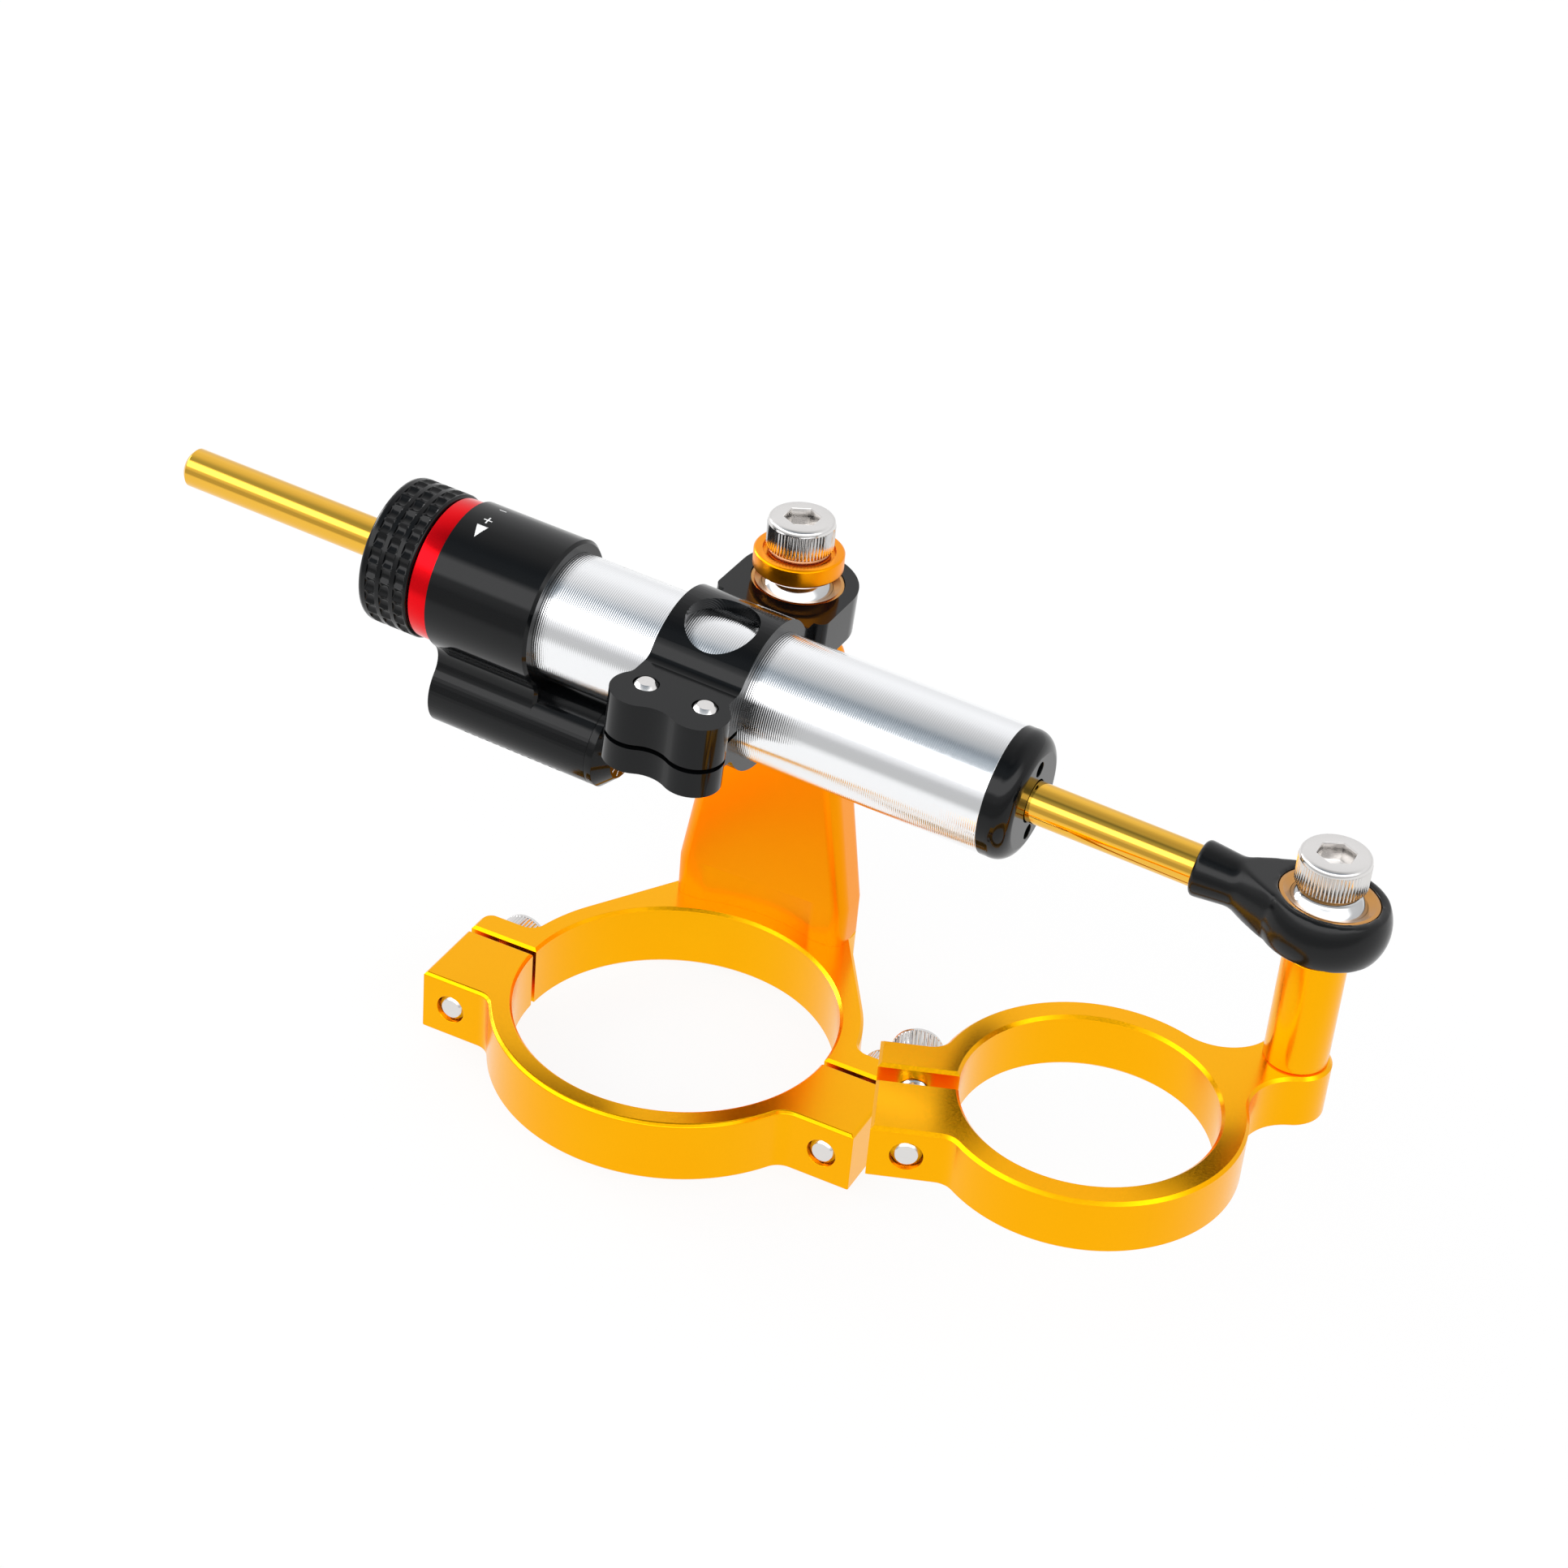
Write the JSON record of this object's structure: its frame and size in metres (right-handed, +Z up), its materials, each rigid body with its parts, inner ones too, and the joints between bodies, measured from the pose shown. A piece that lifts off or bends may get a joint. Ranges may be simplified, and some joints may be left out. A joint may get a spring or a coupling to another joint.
{
  "type": "steering damper",
  "caption": "Through-rod hydraulic steering damper with click adjuster, side reservoir, ball-jointed pinch clamp on an upright, split fork-tube clamp and posted frame clamp.",
  "frame": {"origin": "centre of the fork-tube clamp's bore at its lower face", "axes": "+Z up along the fork tube, +X right along the clamp's split, +Y to the rear, where the upright stands"},
  "size_m": [0.2555, 0.1021, 0.1096],
  "materials": {
    "gold_anodised": "satin anodised",
    "black_anodised": "gloss anodised",
    "red_anodised": "satin anodised",
    "turned_silver": "fine turned",
    "gold_rod": "polished, coated",
    "bronze": "fine turned",
    "chromed_ball": "polished",
    "stainless": "satin",
    "copper_washer": "satin",
    "seal_rubber": "matte",
    "guide_plastic": "matte"
  },
  "bodies": {
    "stand": {"big_clamp_rear": "gold_anodised", "big_clamp_front": "gold_anodised", "big_clamp_screws": "stainless", "upright": "gold_anodised", "upright_screws": "stainless", "pivot_bolt": "stainless", "pivot_washer": "copper_washer", "cup_spacer": "gold_anodised"},
    "pivot_ball": {"ear_ball": "chromed_ball"},
    "damper": {"ear_race": "bronze", "damper_clamp": "black_anodised", "damper_clamp_screws": "stainless", "damper_tube": "turned_silver", "end_cap": "black_anodised", "cap_o_ring": "seal_rubber", "cap_wiper": "seal_rubber", "cap_rod_seal": "seal_rubber", "cap_guide": "bronze", "head_body": "black_anodised", "head_o_ring": "seal_rubber", "head_rod_seal": "seal_rubber", "head_guide": "bronze", "index_ring": "red_anodised", "detent_ball": "chromed_ball", "detent_spring": "stainless", "knob_clip": "stainless", "fill_screw": "stainless"},
    "click_knob": {"adjuster_knob": "black_anodised", "metering_sleeve": "turned_silver", "head_wiper": "seal_rubber"},
    "dial": {"reservoir_dial": "black_anodised", "reservoir_dial_seal": "seal_rubber", "reservoir_needle": "stainless"},
    "floating_piston": {"reservoir_piston": "turned_silver", "reservoir_piston_seal": "seal_rubber"},
    "main_piston": {"piston": "turned_silver", "piston_band": "guide_plastic"},
    "rod": {"damper_rod": "gold_rod", "piston_clips": "stainless", "rod_end": "black_anodised", "rod_end_race": "bronze"},
    "end_ball": {"rod_end_ball": "chromed_ball"},
    "frame_clamp": {"rod_end_bolt": "stainless", "rod_end_post": "gold_anodised", "small_clamp": "gold_anodised", "small_clamp_screw": "stainless"}
  },
  "joints": [
    {"name": "pivot_yaw", "type": "hinge", "parent": "stand", "child": "pivot_ball", "pos_m": [0, 0.03925, 0.0879], "axis": [0, 0, 1], "continuous": true},
    {"name": "pivot_pitch", "type": "hinge", "parent": "pivot_ball", "child": "damper", "pos_m": [0, 0.03925, 0.0879], "axis": [0.0105, 0.9999, 0], "range_deg": [-8, 4]},
    {"name": "knob_turn", "type": "hinge", "parent": "damper", "child": "click_knob", "pos_m": [-0.06851, 0.01139, 0.08841], "axis": [-0.9985, 0.0105, 0.0543], "range_deg": [-150, 150]},
    {"name": "dial_turn", "type": "hinge", "parent": "damper", "child": "dial", "pos_m": [-0.01586, 0.00834, 0.06261], "axis": [-0.9985, 0.0105, 0.0543], "range_deg": [-150, 150]},
    {"name": "float_slide", "type": "slide", "parent": "damper", "child": "floating_piston", "axis": [-0.9985, 0.0105, 0.0543], "range_m": [-0.003, 0.003]},
    {"name": "rod_slide", "type": "slide", "parent": "damper", "child": "main_piston", "axis": [0.9985, -0.0105, -0.0543], "range_m": [-0.031, 0.041]},
    {"name": "rod_spin", "type": "hinge", "parent": "main_piston", "child": "rod", "pos_m": [-0.00311, 0.0107, 0.08485], "axis": [-0.9985, 0.0105, 0.0543], "continuous": true},
    {"name": "end_tilt", "type": "hinge", "parent": "rod", "child": "end_ball", "pos_m": [0.1212, 0.0094, 0.0781], "axis": [0.0105, 0.9999, 0], "range_deg": [-6, 10]},
    {"name": "end_swivel", "type": "hinge", "parent": "end_ball", "child": "frame_clamp", "pos_m": [0.1212, 0.0094, 0.0781], "axis": [0, 0, 1], "continuous": true}
  ]
}
